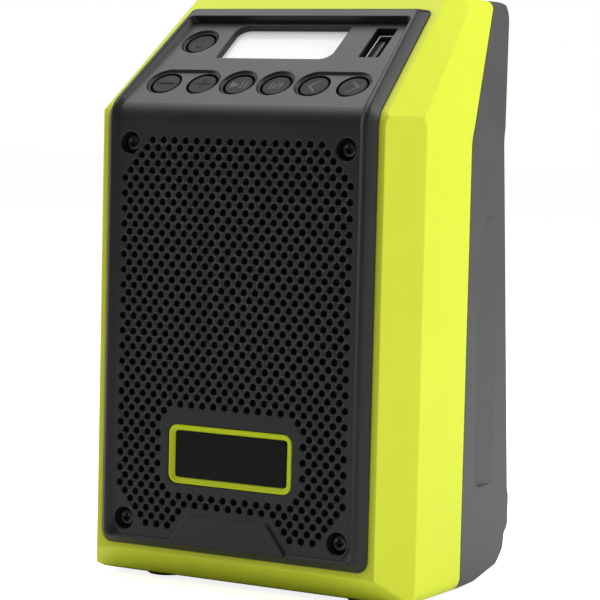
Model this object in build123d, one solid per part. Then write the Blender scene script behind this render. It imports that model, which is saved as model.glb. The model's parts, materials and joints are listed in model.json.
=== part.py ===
from build123d import *
from math import atan, cos, degrees, radians, sin, tan
import os

# Jobsite radio, upright, standing on four rubber feet.
# +Z is up, the speaker faces -Y and +X is the listener's right. The origin lies on the surface
# that the radio stands on, under the middle of its outline.

# ---- driving dimensions, millimetres ----
WIDTH = 121.4
HEIGHT = 194.0
DEPTH = 91.0
WALL = 2.4                 # moulded wall of both housings
GROUND = 1.5               # the housing's underside stands this far above the floor

# depths, measured back from the crest of the black bezel, which is the foremost surface
FRONT = -DEPTH / 2
PLATE = FRONT + 1.0        # face of the grille
BASE = FRONT + 3.4         # front wall of the lime housing, which the bezel stands on
CREASE = FRONT + 15.4      # where the front bevels meet the sides
PARTING = FRONT + 46.9     # joint between the front and the rear housing
WAIST = FRONT + 76.7       # rear wall at its narrowest

# heights
BEVEL_FOOT = 10.6          # lowest edge of the flat front wall
BEND = 155.1               # the front wall turns back into the control slope here
SHOULDER = 152.0           # the sides start to lean in here
REAR_BEND = 149.0          # the parting line and the rear wall turn back here

CONTROL_LEAN = 51.4        # control slope, degrees back from upright
FLAT_HALF = 52.25          # half width of the flat front wall
SIDE_LEAN = 0.18           # the sides lean in by this much per mm of height above the shoulder
CONTROL_TAPER = 0.1207     # the same for the bezel
PARTING_LEAN = 0.65        # the parting line goes back by this much per mm above its bend
REAR_DRAFT = 0.1           # the rear housing narrows by this much per mm of depth, each side

# bezel and front panel
RIM_HALF = 50.05           # bezel half width at its foot
CREST_OUT = 47.5           # crest of the bezel, outer and inner half width
OPENING_HALF = 45.0        # half width of the opening for the front panel
RIM_BOTTOM = 12.8
OPENING_BOTTOM = 16.1
RIM_TOP = 55.0             # measured up the control slope from the crest's bend
OPENING_TOP = 49.0
PANEL_FIT = 0.15           # gap round the front panel
PANEL_THICK = 2.0
SLOPE_SINK_LOW = 1.3       # the control slope lies this far below the crest at its foot
SLOPE_SINK_HIGH = 3.2      # and this far at its top
BEND_RADIUS = 10.0

# perforated field of the grille
HOLE_PITCH_X = 8.4
HOLE_PITCH_Z = 10.0
HOLE_SIZE = 4.4            # side of a square hole, stood on its corner
FIELD_HALF = 42.5
FIELD_LOW = 20.8
FIELD_HIGH = 145.4
SCREW_X = 40.2
SCREW_Z = (21.5, 144.6)
CUP_D = 7.2                # deep seat of a grille screw
CUP_DEPTH = 3.0
CUP_WALL = 1.0

# badge and tablet on the grille
BADGE_Z = 44.6
BADGE_SIZE = (46.1, 19.2)
BADGE_INNER = (41.4, 15.2)
BADGE_SINK = 1.3
TABLET_TOP = (24.8, 14.5)      # height and half width
TABLET_BOTTOM = (15.4, 22.0)

# control slope: places are (across, up the slope)
BUTTON_D = 10.8
BUTTON_HOLE_D = 11.4       # the cap runs in this hole
POCKET_D = 12.8            # and stands in a shallow pocket, which two neighbours may share
POCKET_DEPTH = 1.0
BUTTON_ROW = 14.8
BUTTON_PITCH = 14.0
CONTROL_POSTS = ((-24.6, 25.6), (27.2, 25.6), (-24.6, 44.6), (27.2, 44.6))
POWER_PLACE = (-33.8, 36.5)
WINDOW_PLACE = (0.0, 38.2)
WINDOW_SIZE = (41.0, 18.0)
USB_PLACE = (34.2, 38.6)
USB_SLOT = (7.0, 15.2)
USB_TUBE = (5.7, 13.1)     # outside of the socket's shell
SHEET = 0.3                # thickness of the shell

# layers behind the control slope: depths (top, bottom) below its face
CAP = (0.3, 2.6)
FLANGE = (2.15, 3.05)      # keeps the button in, behind the panel
STEM_END = 4.4
BUTTON_TRAVEL = 0.8
KEYPAD_DOME = (STEM_END + BUTTON_TRAVEL + 0.3, 6.2)
KEYPAD = (6.0, 7.2)
CONTROL_BOARD = (7.2, 8.8)
LENS = (2.0, 2.8)
DISPLAY = (2.9, 7.1)
USB_DEPTH = (1.4, 13.4)

# loudspeaker: distances behind the face of its flange
SPEAKER_Z = 88.0
CONE_D = 70.0
FLANGE_SIZE = 80.0
FLANGE_THICK = 1.2
MAGNET_D = 42.0
MAGNET = (15.0, 24.0)
ARM_WIDTH = 8.0
DUST_CAP_D = 20.0
CONE_DEPTH = 10.0
ROLL = 4.8                 # width of the flat surround that carries the cone

# battery well in the rear wall
WELL_Z = 79.0
WELL_SIZE = (50.0, 36.0)
WELL_FLOOR = -10.0
WELL_WALL = 2.0
TERMINALS_X = (-10.0, 0.0, 10.0)

# screws
HOUSING_SCREWS = ((52.0, 22.0), (47.6, 181.0))      # on each side: x, z
SCREW_D = 3.0
CLEARANCE_D = 3.4
HEAD_D = 5.8
HEAD_WELL_D = 6.6
SCREW_REACH = 15.0         # thread that stands in the front housing
SCREW_SEAT = 8.0           # head seat behind the parting surface
FRONT_COLUMN = 8.0         # width of the square columns round the screws
REAR_COLUMN = 9.0
GRILLE_SCREW = 10.0        # length of a grille screw
GRILLE_COLUMN = CUP_D + 5

# main board
BOARD_BACK = 15.6          # rear face of the main board
BOARD_THICK = 1.6
BOARD_HALF = 44.0
BOARD_Z = (104.0, 146.0)
SINK_Z = (112.0, 134.0)    # heat sink
SINK_HALF = 14.0
FIN_PITCH = 5.5

# hole in the housing behind the control slope: half widths and places up the slope
CONTROL_OPENING = ((42.2, 4.0), (39.4, 47.8))

# grip recesses in the sides of the rear housing
GRIP_Z = (34.0, 123.0)
GRIP_FRONT = 11.0
GRIP_FLOOR_HALF = 57.9     # the recess floors are upright planes this far from the middle

# feet: places and heights
FOOT_D = 13.0
FRONT_FEET = ((-38.5, -20.0), (38.5, -20.0))
REAR_FEET = ((-36.0, 26.0), (36.0, 26.0))
FRONT_FOOT = 4.5
REAR_FOOT = 7.0

BIG = 400.0
OVERRUN = 0.1              # the front view is this much taller, so that no two faces coincide
LEAN = radians(CONTROL_LEAN)
CREST_BEND = BEND + (BASE - FRONT) * (1 / cos(LEAN) - 1) / tan(LEAN)

# frames laid on the control slope: local x across, local y up the slope, local z out of it
CREST_SLOPE = Plane(origin=(0, FRONT, CREST_BEND), x_dir=(1, 0, 0), z_dir=(0, -cos(LEAN), sin(LEAN)))
PANEL_TILT = degrees(atan((SLOPE_SINK_HIGH - SLOPE_SINK_LOW) / OPENING_TOP))
PANEL_SLOPE = CREST_SLOPE * Location((0, 0, -SLOPE_SINK_LOW), (-PANEL_TILT, 0, 0))

SIDES = (1, -1)
BUTTONS = {
    "power_button": POWER_PLACE,
    "volume_down_button": (-2.5 * BUTTON_PITCH, BUTTON_ROW),
    "volume_up_button": (-1.5 * BUTTON_PITCH, BUTTON_ROW),
    "play_pause_button": (-0.5 * BUTTON_PITCH, BUTTON_ROW),
    "mode_button": (0.5 * BUTTON_PITCH, BUTTON_ROW),
    "previous_button": (1.5 * BUTTON_PITCH, BUTTON_ROW),
    "next_button": (2.5 * BUTTON_PITCH, BUTTON_ROW),
}


# ---- shared tools ----
def outline(plane, corners):
    """A closed face on a plane, from (u, v, corner radius) points."""
    points = [(u, v) for u, v, radius in corners]
    radii = [radius for u, v, radius in corners]
    return plane * make_face(FilletPolyline(*points, radius=radii, close=True))


def slab(plane, corners, half):
    """An outline pushed both ways out of its plane."""
    return extrude(outline(plane, corners), amount=half, both=True)


def trim(solid, point, normal):
    """Cut away everything that lies beyond a plane."""
    beyond = Box(BIG, BIG, BIG, align=(Align.CENTER, Align.CENTER, Align.MIN))
    return solid - Plane(origin=point, z_dir=normal) * beyond


def mirrored(vector, side):
    """The same vector on the other side of the radio when side is -1."""
    x, y, z = vector
    return (side * x, y, z)


def on_slope(frame, place, height, part):
    """A part set on a slope frame, at (across, up), with its origin at a height off it."""
    return frame * Pos(place[0], place[1], height) * part


def drum(diameter, low, high):
    """A plain cylinder about local z, between two heights."""
    solid = Cylinder(diameter / 2, high - low, align=(Align.CENTER, Align.CENTER, Align.MIN))
    return Pos(0, 0, low) * solid


def layer(width, height, depths):
    """A plate parallel to a slope's face, between two depths below it."""
    top, bottom = depths
    return Pos(0, 0, -(top + bottom) / 2) * Box(width, height, bottom - top)


def front_rod(x, z, diameter, y_front, y_back):
    """A cylinder that runs front to back."""
    rod = Cylinder(diameter / 2, y_back - y_front, align=(Align.CENTER, Align.CENTER, Align.MIN))
    return Pos(x, y_front, z) * Rot(-90, 0, 0) * rod


def boss(x, z, size, y_front, y_back):
    """A square post that runs front to back."""
    return block((x - size / 2, x + size / 2), (y_front, y_back), (z - size / 2, z + size / 2))


def block(x, y, z):
    """A box from three (low, high) pairs."""
    size = [high - low for low, high in (x, y, z)]
    middle = [(low + high) / 2 for low, high in (x, y, z)]
    return Pos(*middle) * Box(*size)


def crest_point(up, depth):
    """The (y, z) of a point on the control slope, up it and below the crest."""
    y = FRONT + up * sin(LEAN) + depth * cos(LEAN)
    z = CREST_BEND + up * cos(LEAN) - depth * sin(LEAN)
    return y, z


# ---- body form ----
def body_side_view(inset):
    """Outline of the closed body seen from the side, moved in by the inset."""
    top_front = BASE + (HEIGHT - BEND) * tan(LEAN)
    corners = [
        (BASE, BEVEL_FOOT, 1.0),
        (BASE, BEND, BEND_RADIUS - (BASE - FRONT)),
        (top_front, HEIGHT, 4.0),
        (DEPTH / 2, HEIGHT, 5.0),
        (WAIST, REAR_BEND, 14.0),
        (DEPTH / 2 - 1.2, 30.0, 1.0),
        (DEPTH / 2, 27.5, 1.0),
        (DEPTH / 2, 17.5, 1.5),
        (DEPTH / 2 - 3.2, 14.8, 0.8),
        (DEPTH / 2 - 4.2, 10.0, 3.0),
        (DEPTH / 2 - 10.5, 5.6, 4.0),
        (PARTING, GROUND, 20.0),
        (CREASE, GROUND, 2.0),
    ]
    face = outline(Plane.YZ, corners)
    return offset(face, amount=-inset) if inset else face


def body_front_view(inset):
    """Outline of the closed body seen from the front, moved in by the inset."""
    top_half = WIDTH / 2 - (HEIGHT - SHOULDER) * SIDE_LEAN
    right = [
        (WIDTH / 2, GROUND - OVERRUN, 5.0),
        (WIDTH / 2, SHOULDER, 18.0),
        (top_half, HEIGHT + OVERRUN, 5.0),
    ]
    left = [(-x, z, radius) for x, z, radius in reversed(right)]
    face = outline(Plane.XZ, right + left)
    return offset(face, amount=-inset) if inset else face


def body(inset=0.0):
    """The closed body of the radio, or the space inside a wall of that thickness."""
    solid = extrude(body_side_view(inset), amount=WIDTH, both=True)
    solid &= extrude(body_front_view(inset), amount=DEPTH, both=True)
    for side in SIDES:
        for point, normal in bevel_planes() + draft_planes():
            unit = Vector(*normal).normalized()
            moved = Vector(*point) - unit * inset
            solid = trim(solid, mirrored(moved, side), mirrored(unit, side))
    return solid


def bevel_planes():
    """Planes of the right-hand bevels beside the upright front and beside the control slope."""
    corner = Vector(WIDTH / 2, CREASE, BEND)
    foot = Vector(FLAT_HALF, BASE, BEND)
    upright = Vector(0, 0, 1)
    up_slope = Vector(-CONTROL_TAPER, tan(LEAN), 1)
    across = corner - foot
    return [(tuple(foot), tuple(across.cross(line))) for line in (upright, up_slope)]


def draft_planes():
    """Planes of the right-hand side of the rear housing, below and above the shoulder."""
    corner = (WIDTH / 2, PARTING, SHOULDER)
    lean = SIDE_LEAN - REAR_DRAFT * PARTING_LEAN
    return [(corner, (1, REAR_DRAFT, 0)), (corner, (1, REAR_DRAFT, lean))]


def parting_region(shift, front):
    """Everything in front of the parting surface, or behind it, moved back by the shift."""
    y_top = PARTING + (BIG - REAR_BEND) * PARTING_LEAN
    end = -BIG if front else BIG
    corners = [
        (PARTING + shift, -BIG, 0),
        (PARTING + shift, REAR_BEND, 12.0),
        (y_top + shift, BIG, 0),
        (end, BIG, 0),
        (end, -BIG, 0),
    ]
    return slab(Plane.YZ, corners, WIDTH)


# ---- housings ----
def housing_screw_places():
    """Where the four long screws join the housings: (x, parting y, z)."""
    places = []
    for side in SIDES:
        for x, z in HOUSING_SCREWS:
            y = PARTING + max(0.0, z - REAR_BEND) * PARTING_LEAN
            places.append((side * x, y, z))
    return places


def front_housing(outer, inner):
    """Lime front shell with its speaker opening, control opening and screw columns."""
    shell = (outer - inner) & parting_region(0, True)
    for x, y, z in housing_screw_places():
        shell += boss(x, z, FRONT_COLUMN, FRONT, DEPTH) & inner & parting_region(0, True)
        shell -= front_rod(x, z, SCREW_D, y - SCREW_REACH, DEPTH)
    shell -= front_rod(0, SPEAKER_Z, CONE_D, FRONT, BASE + 2 * WALL)
    shell -= extrude(outline(CREST_SLOPE, control_opening()), amount=5 * WALL, both=True)
    shell -= panel_seat()
    cup_back = PLATE + CUP_DEPTH + CUP_WALL + 0.1
    screw_end = PLATE + CUP_DEPTH + GRILLE_SCREW + 2
    for side in SIDES:
        for z in SCREW_Z:
            shell += boss(side * SCREW_X, z, GRILLE_COLUMN, BASE + 1, screw_end + 1)
            shell -= boss(side * SCREW_X, z, CUP_D + 2 * CUP_WALL + 0.4, FRONT, cup_back)
            shell -= front_rod(side * SCREW_X, z, SCREW_D, FRONT, screw_end)
    return shell


def control_opening():
    """Outline of the hole in the control slope, on the slope's own plane."""
    right = [(half, up, 1.0) for half, up in CONTROL_OPENING]
    return right + [(-u, v, radius) for u, v, radius in reversed(right)]


def panel_seat():
    """The space of the front panel and a little more, so that it drops in from the front."""
    thick = PANEL_THICK + 0.1
    deeper = strip_side_view(OPENING_BOTTOM, OPENING_TOP + 1, PLATE - FRONT, SLOPE_SINK_HIGH, thick)
    return slab(Plane.YZ, deeper, OPENING_HALF) & panel_space(-PANEL_FIT)


def grip_recess(side, wall=0.0):
    """Finger space on one side, run out to nothing at the rear edge, or the solid that backs it."""
    low, high = GRIP_Z[0] - wall, GRIP_Z[1] + wall
    front = GRIP_FRONT - wall
    corners = [(front, low, 6.0), (BIG, low, 0), (BIG, high, 0), (front, high, 8.0)]
    space = slab(Plane.YZ, corners, BIG / 2)
    floor = (side * (GRIP_FLOOR_HALF - wall), 0, 0)
    return trim(space, floor, (-side, 0, 0))


def rear_housing(outer, inner):
    """Grey rear shell with the battery opening, grip recesses and screw wells."""
    shell = (outer - inner) & parting_region(0, False)
    reveal = (outer - body(0.5)) & parting_region(0, False) & parting_region(0.45, True)
    shell -= reveal
    for side in SIDES:
        shell += grip_recess(side, WALL) & inner & parting_region(0, False)
        shell -= grip_recess(side)
    for x, y, z in housing_screw_places():
        shell += boss(x, z, REAR_COLUMN, FRONT, DEPTH) & inner & parting_region(0, False)
        shell -= front_rod(x, z, HEAD_WELL_D, y + SCREW_SEAT, DEPTH)
        shell -= front_rod(x, z, CLEARANCE_D, FRONT, DEPTH)
    for side in SIDES:
        middle = side * (BOARD_HALF - 4)
        shell += block((middle - 2, middle + 2), (BOARD_BACK, DEPTH / 2), BOARD_Z) & inner
    opening = block((-WELL_SIZE[0] / 2, WELL_SIZE[0] / 2), (0, DEPTH),
                    (WELL_Z - WELL_SIZE[1] / 2, WELL_Z + WELL_SIZE[1] / 2))
    shell -= fillet(opening.edges().filter_by(Axis.Y), 4.0)
    return shell


def battery_well(inner):
    """Sleeve that the battery's stem slides into, closed at its front end."""
    half_x = WELL_SIZE[0] / 2
    low = WELL_Z - WELL_SIZE[1] / 2
    high = WELL_Z + WELL_SIZE[1] / 2
    sleeve = block((-half_x - WELL_WALL, half_x + WELL_WALL), (WELL_FLOOR - WELL_WALL, DEPTH / 2),
                   (low - WELL_WALL, high + WELL_WALL))
    sleeve = fillet(sleeve.edges().filter_by(Axis.Y), 5.0)
    space = block((-half_x, half_x), (WELL_FLOOR, DEPTH), (low, high))
    space = fillet(space.edges().filter_by(Axis.Y), 4.0)
    return (sleeve & inner) - space


def terminal_block():
    """Moulded block on the floor of the well that carries the contact blades."""
    form = block((-16.0, 16.0), (WELL_FLOOR, WELL_FLOOR + 8), (WELL_Z - 11, WELL_Z + 11))
    form = fillet(form.edges().filter_by(Axis.Y), 2.0)
    for x in TERMINALS_X:
        form -= blade(x)
    return form


def blade(x):
    """One contact blade, upright, with its nose rounded."""
    strip = block((x - 0.4, x + 0.4), (WELL_FLOOR + 2, WELL_FLOOR + 20), (WELL_Z - 6, WELL_Z + 6))
    nose = strip.edges().filter_by(Axis.X).group_by(Axis.Y)[-1]
    return fillet(nose, 3.0)


def contact_blades():
    """The three contact blades."""
    return [blade(x) for x in TERMINALS_X]


# ---- bezel and front panel ----
def strip_side_view(low, top, sink_low, sink_high, thick):
    """Side view of a strip that runs up the front, round the bend and up the control slope."""
    face = FRONT + sink_low
    y_top, z_top = crest_point(top, sink_high)
    y_back, z_back = crest_point(top, sink_high + thick)
    bend_front = bend_height(sink_low, sink_high, top, 0)
    bend_back = bend_height(sink_low, sink_high, top, thick)
    return [
        (face, low, 0),
        (face, bend_front, BEND_RADIUS),
        (y_top, z_top, 0),
        (y_back, z_back, 0),
        (face + thick, bend_back, max(BEND_RADIUS - thick, 1.0)),
        (face + thick, low, 0),
    ]


def bend_height(sink_low, sink_high, top, thick):
    """Height at which the upright face of a strip meets the line of its sloping face."""
    y_top, z_top = crest_point(top, sink_high + thick)
    y_foot, z_foot = crest_point(0, sink_slope(sink_low) + thick)
    rise = (z_top - z_foot) / (y_top - y_foot)
    return z_foot + (FRONT + sink_low + thick - y_foot) * rise


def sink_slope(sink_low):
    """Depth of the control slope at its foot for a strip with that depth on the upright."""
    return SLOPE_SINK_LOW if sink_low == PLATE - FRONT else sink_low


def front_outline(half, low, top_up, corner):
    """Front view of a strip: straight sides, then the taper of the control slope."""
    y_top, z_top = crest_point(top_up, 0)
    top_half = half - CONTROL_TAPER * (z_top + 8 - CREST_BEND)
    right = [(half, low, corner), (half, CREST_BEND, 12.0), (top_half, z_top + 8, 0)]
    left = [(-x, z, radius) for x, z, radius in reversed(right)]
    return right + left


def front_bezel():
    """Black frame round the front panel: outer slopes, a narrow crest and a stepped opening."""
    rise = BASE - FRONT
    run = RIM_HALF - CREST_OUT
    y_crest, z_crest = crest_point(RIM_TOP - run, 0)
    y_foot, z_foot = crest_point(RIM_TOP, rise)
    ring = [
        (BASE, RIM_BOTTOM, 0),
        (FRONT, RIM_BOTTOM + run, 0),
        (FRONT, CREST_BEND, BEND_RADIUS),
        (y_crest, z_crest, 1.0),
        (y_foot, z_foot, 0),
        (BASE, BEND, BEND_RADIUS - rise),
    ]
    solid = slab(Plane.YZ, ring, RIM_HALF)
    solid &= slab(Plane.XZ, front_outline(RIM_HALF, RIM_BOTTOM, RIM_TOP, 4.0), DEPTH)
    solid &= crowned_form(degrees(atan(rise / run)))
    crest = Vector(CREST_OUT, FRONT, CREST_BEND)
    foot = Vector(RIM_HALF, BASE, BEND)
    normal = (foot - crest).cross(Vector(-CONTROL_TAPER, tan(LEAN), 1))
    for side in SIDES:
        solid = trim(solid, mirrored(crest, side), mirrored(normal, side))
    solid &= extrude(outline(CREST_SLOPE, slope_outline(RIM_HALF, RIM_TOP, 2.0)), amount=BIG, both=True)
    return solid - panel_space(0)


def crowned_form(angle):
    """Everything behind the crest, falling away at an angle beside it all the way round the bend."""
    y_far, z_far = crest_point(BIG, 0)
    corners = [(FRONT, -BIG, 0), (FRONT, CREST_BEND, BEND_RADIUS), (y_far, z_far, 0), (BIG, -BIG, 0)]
    form = slab(Plane.YZ, corners, CREST_OUT)
    for side in SIDES:
        edge = Plane(origin=(side * CREST_OUT, 0, 0), x_dir=(0, side, 0), z_dir=(side, 0, 0))
        flipped = [(side * y, z, radius) for y, z, radius in corners]
        form += extrude(outline(edge, flipped), amount=RIM_HALF - CREST_OUT + 1, taper=angle)
    return form


def slope_outline(half, top, corner):
    """Front outline of a strip on the control slope, on the slope's own plane."""
    taper = CONTROL_TAPER * cos(LEAN)
    right = [(half + taper * BIG / 2, -BIG / 2, 0), (half - taper * top, top, corner)]
    return right + [(-u, v, radius) for u, v, radius in reversed(right)]


def panel_space(gap):
    """The opening of the bezel, less a gap: what the front panel fills."""
    y_top, z_top = crest_point(OPENING_TOP - gap, -10)
    y_back, z_back = crest_point(OPENING_TOP - gap, 20)
    corners = [
        (FRONT - 10, OPENING_BOTTOM + gap, 0),
        (FRONT - 10, CREST_BEND, 0),
        (y_top, z_top, 0),
        (y_back, z_back, 0),
        (BASE + 20, OPENING_BOTTOM + gap, 0),
    ]
    space = slab(Plane.YZ, corners, OPENING_HALF - gap)
    slope_view = slope_outline(OPENING_HALF - gap, OPENING_TOP - gap, 3.0)
    space &= extrude(outline(CREST_SLOPE, slope_view), amount=BIG, both=True)
    front_view = front_outline(OPENING_HALF - gap, OPENING_BOTTOM + gap, OPENING_TOP, 5.0)
    return space & slab(Plane.XZ, front_view, DEPTH)


def hole_places():
    """Centres of the grille's holes: staggered rows, clear of screws, badge and tablet."""
    places = []
    rows = int((FIELD_HIGH - FIELD_LOW) / (HOLE_PITCH_Z / 2)) + 1
    for row in range(rows):
        z = FIELD_LOW + row * HOLE_PITCH_Z / 2
        shift = HOLE_PITCH_X / 2 if row % 2 else 0
        count = int((FIELD_HALF - shift) / HOLE_PITCH_X)
        row_x = [shift + i * HOLE_PITCH_X for i in range(-count - (1 if shift else 0), count + 1)]
        places += [(x, z) for x in row_x if abs(x) <= FIELD_HALF and hole_is_clear(x, z)]
    return places


def hole_is_clear(x, z):
    """False where a hole would cut a screw seat, the badge pocket or the tablet."""
    margin = HOLE_SIZE
    if any(abs(abs(x) - SCREW_X) + abs(z - screw_z) < 11.0 for screw_z in SCREW_Z):
        return False
    if abs(x) < BADGE_SIZE[0] / 2 + margin and abs(z - BADGE_Z) < BADGE_SIZE[1] / 2 + margin:
        return False
    return abs(x) > TABLET_BOTTOM[1] + margin or z > TABLET_TOP[0] + margin


def grille_holes():
    """All the square holes, stood on their corners, as one cutter."""
    hole = Rot(0, 45, 0) * Box(HOLE_SIZE, 3 * PANEL_THICK, HOLE_SIZE)
    return [Pos(x, PLATE, z) * hole for x, z in hole_places()]


def rounded_plate(size, corner, thick, y_front):
    """A rounded rectangle that faces forward, centred on the badge."""
    face = Plane.XZ * RectangleRounded(size[0], size[1], corner)
    return Pos(0, y_front + thick, BADGE_Z) * extrude(face, amount=thick)


def front_panel():
    """Moulded front: perforated grille, bend, and control slope with its wells and windows."""
    profile = strip_side_view(OPENING_BOTTOM, OPENING_TOP, PLATE - FRONT, SLOPE_SINK_HIGH, PANEL_THICK)
    panel = slab(Plane.YZ, profile, OPENING_HALF) & panel_space(PANEL_FIT)
    tablet = [(TABLET_TOP[1], TABLET_TOP[0], 0), (TABLET_BOTTOM[1], TABLET_BOTTOM[0], 0)]
    tablet += [(-x, z, radius) for x, z, radius in reversed(tablet)]
    raised = extrude(outline(Plane.XZ, tablet), amount=PLATE - FRONT)
    panel += Pos(0, PLATE, 0) * raised & panel_space(PANEL_FIT)
    panel -= rounded_plate((BADGE_SIZE[0] + 0.4, BADGE_SIZE[1] + 0.4), 3.2, BADGE_SINK, PLATE)
    for side in SIDES:
        for z in SCREW_Z:
            cup = boss(side * SCREW_X, z, CUP_D + 2 * CUP_WALL, PLATE + 1, PLATE + CUP_DEPTH + CUP_WALL)
            panel += cup & panel_space(PANEL_FIT)
            panel -= front_rod(side * SCREW_X, z, CUP_D, PLATE, PLATE + CUP_DEPTH)
            panel -= front_rod(side * SCREW_X, z, CLEARANCE_D, PLATE, PLATE + 2 * CUP_DEPTH)
    panel -= grille_holes()
    post = layer(4.4, 4.4, (PANEL_THICK / 2, CONTROL_BOARD[0]))
    for place in CONTROL_POSTS:
        panel += on_slope(PANEL_SLOPE, place, 0, post)
    return panel - control_cutters()


def control_cutters():
    """Button wells, display window and USB slot, cut into the control slope."""
    cutters = []
    for place in BUTTONS.values():
        cutters.append(on_slope(PANEL_SLOPE, place, 0, drum(BUTTON_HOLE_D, -2 * PANEL_THICK, 1)))
    for place in (POWER_PLACE, (-0.5 * BUTTON_PITCH, BUTTON_ROW), (0.5 * BUTTON_PITCH, BUTTON_ROW)):
        cutters.append(on_slope(PANEL_SLOPE, place, 0, drum(POCKET_D, -POCKET_DEPTH, 1)))
    for pair in (-2.0, 2.0):
        pill = extrude(SlotOverall(BUTTON_PITCH + POCKET_D, POCKET_D), amount=2)
        cutters.append(on_slope(PANEL_SLOPE, (pair * BUTTON_PITCH, BUTTON_ROW), -POCKET_DEPTH, pill))
    half_x, half_up = WINDOW_SIZE[0] / 2, WINDOW_SIZE[1] / 2
    right = [(half_x, -half_up, 4.0), (half_x, half_up, 1.2)]
    left = [(-u, -v, radius) for u, v, radius in right]
    window = slab(Plane.XY, right + left, 2 * PANEL_THICK)
    cutters.append(on_slope(PANEL_SLOPE, WINDOW_PLACE, 0, window))
    slot = extrude(RectangleRounded(*USB_SLOT, 0.6), amount=PANEL_THICK, both=True)
    cutters.append(on_slope(PANEL_SLOPE, USB_PLACE, -PANEL_THICK / 2, slot))
    return cutters


def badge_rim():
    """Lime frame of the badge, its face falling in towards the plate."""
    face = Plane.XZ * RectangleRounded(*BADGE_SIZE, 3.0)
    frame = Pos(0, PLATE + BADGE_SINK, BADGE_Z) * extrude(face, amount=BADGE_SINK - 0.3)
    funnel = Plane.XZ * RectangleRounded(BADGE_INNER[0], BADGE_INNER[1], 1.6)
    slope = extrude(funnel, amount=BADGE_SINK, taper=-50)
    return frame - Pos(0, PLATE + BADGE_SINK - 0.4, BADGE_Z) * slope - badge_plate_space(0.05)


def badge_plate_space(gap):
    """The seat of the bare badge plate."""
    size = (BADGE_INNER[0] + gap, BADGE_INNER[1] + gap)
    return rounded_plate(size, 1.6, 0.6, PLATE + BADGE_SINK - 0.6)


def badge_plate():
    """Bare black plate inside the lime frame."""
    return badge_plate_space(-0.05)


# ---- controls ----
def button():
    """Push button: round cap, square flange that keeps it in, and a cross-shaped stem."""
    cap = drum(BUTTON_D, -CAP[1], -CAP[0])
    flange = layer(BUTTON_HOLE_D, BUTTON_HOLE_D, FLANGE)
    stem = (FLANGE[1] - 0.2, STEM_END)
    return cap + flange + layer(4.0, 1.4, stem) + layer(1.4, 4.0, stem)


def keypad():
    """Silicone mat with a dome under every button."""
    power_x, power_up = POWER_PLACE
    pad = on_slope(PANEL_SLOPE, (0, BUTTON_ROW), 0, layer(82.0, BUTTON_PITCH, KEYPAD))
    pad += on_slope(PANEL_SLOPE, POWER_PLACE, 0, layer(13.2, BUTTON_PITCH, KEYPAD))
    pad += on_slope(PANEL_SLOPE, (power_x, (power_up + BUTTON_ROW) / 2), 0, layer(8.0, 12.0, KEYPAD))
    for place in BUTTONS.values():
        pad += on_slope(PANEL_SLOPE, place, 0, layer(5.0, 5.0, KEYPAD_DOME))
    return pad


def control_board():
    """Circuit board under the control slope, cut out round the USB socket."""
    board = on_slope(PANEL_SLOPE, (0, 26.0), 0, layer(81.0, 42.0, CONTROL_BOARD))
    gap = layer(USB_TUBE[0] + 0.6, USB_TUBE[1] + 0.6, USB_DEPTH)
    return board - on_slope(PANEL_SLOPE, USB_PLACE, 0, gap)


def display_lens():
    """Clear window over the display, set below the control slope."""
    top, bottom = LENS
    lens = extrude(RectangleRounded(WINDOW_SIZE[0] + 2.4, WINDOW_SIZE[1] + 0.8, 2.5), amount=bottom - top)
    return on_slope(PANEL_SLOPE, WINDOW_PLACE, -bottom, lens)


def display_module():
    """Liquid crystal display in its tray, on the board."""
    return on_slope(PANEL_SLOPE, WINDOW_PLACE, 0, layer(43.8, 18.6, DISPLAY))


def usb_shell():
    """Folded steel shell of the USB socket, closed at its back."""
    width, height = USB_TUBE
    bottom = USB_DEPTH[1]
    inside = layer(width - 2 * SHEET, height - 2 * SHEET, (0, bottom - SHEET))
    return on_slope(PANEL_SLOPE, USB_PLACE, 0, layer(width, height, USB_DEPTH) - inside)


def usb_tongue():
    """Plastic tongue that carries the USB contacts, on the back of the shell."""
    tongue = layer(1.9, 11.0, (USB_DEPTH[0] + 1.5, USB_DEPTH[1] - SHEET))
    return on_slope(PANEL_SLOPE, (USB_PLACE[0] + 0.8, USB_PLACE[1]), 0, tongue)


# ---- loudspeaker ----
def on_speaker(part):
    """A part made about the Y axis, its front at y = 0, set where the loudspeaker sits."""
    return Pos(0, BASE + WALL, SPEAKER_Z) * part


def speaker_basket():
    """Pressed steel basket: a square flange, four bent arms, and a plate that carries the magnet."""
    half, cone, hub = FLANGE_SIZE / 2, CONE_D / 2, MAGNET_D / 2
    cut = 0.3 * half
    corners = [(half, cut - half, 0), (half, half - cut, 0), (half - cut, half, 0), (cut - half, half, 0)]
    corners += [(-x, -z, radius) for x, z, radius in corners]
    basket = slab(Plane.XZ, corners, FLANGE_THICK / 2)
    basket = Pos(0, FLANGE_THICK / 2, 0) * basket - front_rod(0, 0, CONE_D - 4, -1, FLANGE_THICK + 1)
    arm = [(cone - 1, 0, 0), (cone + 1, 0, 0), (hub, MAGNET[0], 0), (-hub, MAGNET[0], 0)]
    arm += [(-hub, MAGNET[0] - FLANGE_THICK, 0), (hub - 2, MAGNET[0] - FLANGE_THICK, 0)]
    for turn in range(4):
        basket += Rot(0, 90 * turn, 0) * slab(Plane.XY, arm, ARM_WIDTH / 2)
    return on_speaker(basket)


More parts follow.
